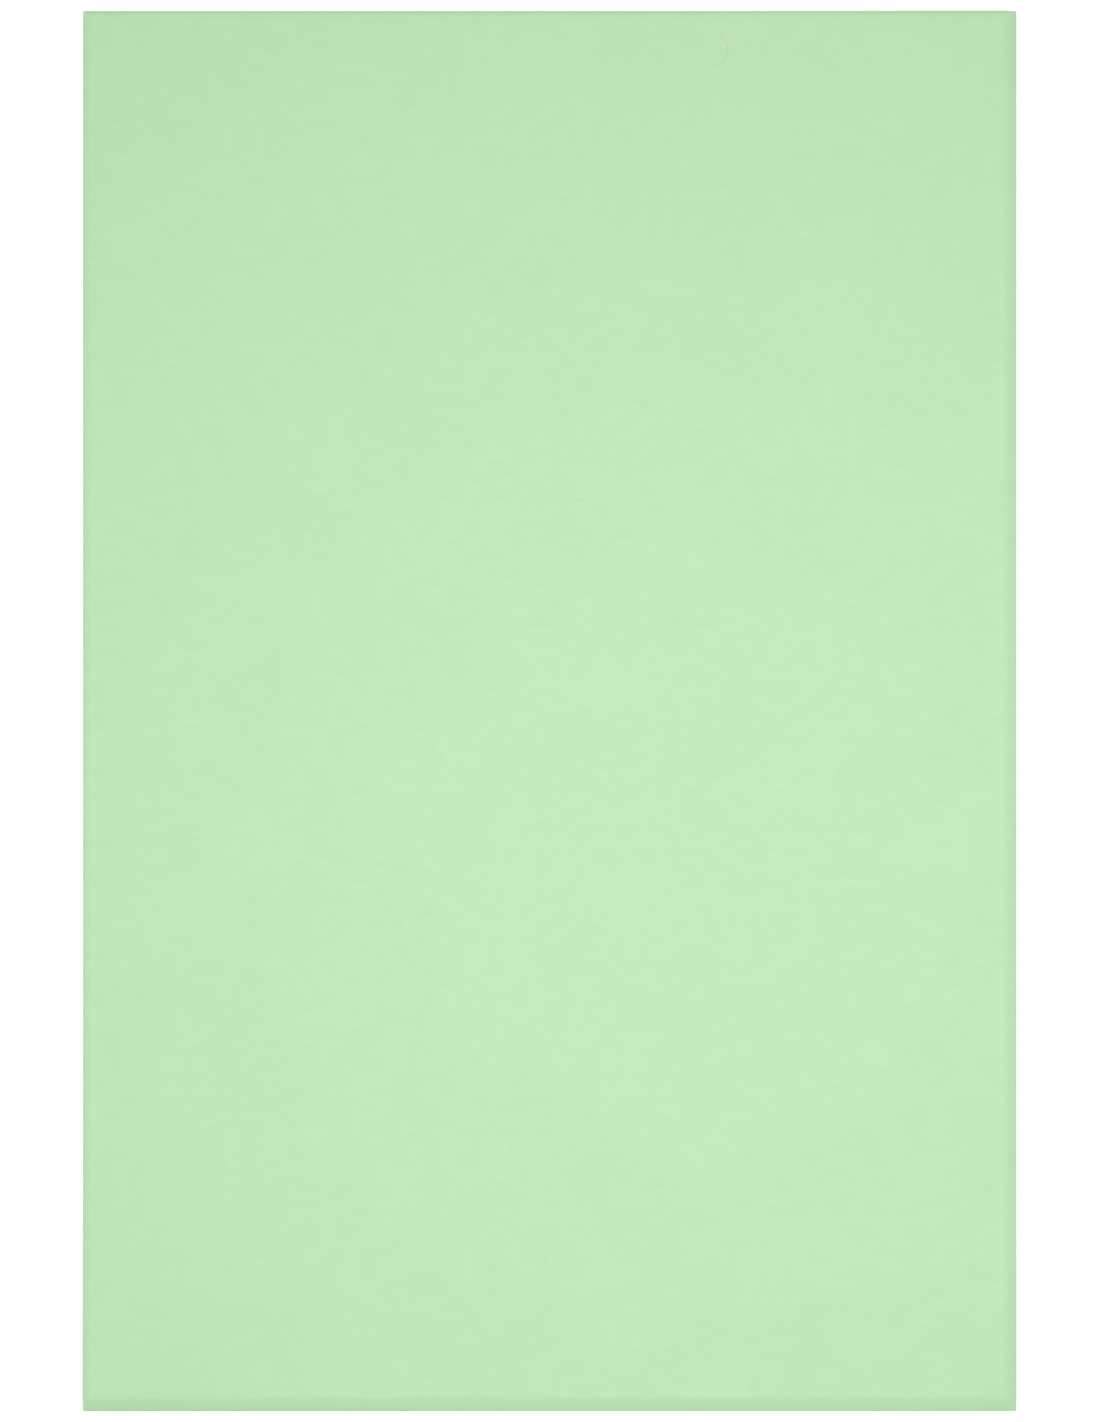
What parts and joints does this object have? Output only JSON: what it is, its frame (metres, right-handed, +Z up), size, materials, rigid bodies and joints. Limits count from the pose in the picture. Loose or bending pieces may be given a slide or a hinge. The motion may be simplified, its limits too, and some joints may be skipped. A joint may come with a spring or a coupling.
{
  "type": "cardstock sheet",
  "caption": "Rectangular sheet of mint-green cardstock with a matt, slightly mottled face and four knife-cut edges, lying flat.",
  "frame": {"origin": "on the table, under the centre of the sheet's outline", "axes": "+X across the sheet to the picture's right, +Y along it to the picture's top, +Z up out of its face"},
  "size_m": [0.3048, 0.4572, 0.0013],
  "materials": {
    "mint_card": "uncoated, dyed through, matt with a fine felt-side tooth"
  },
  "bodies": {
    "root": {"cardstock_sheet": "mint_card"}
  },
  "joints": []
}
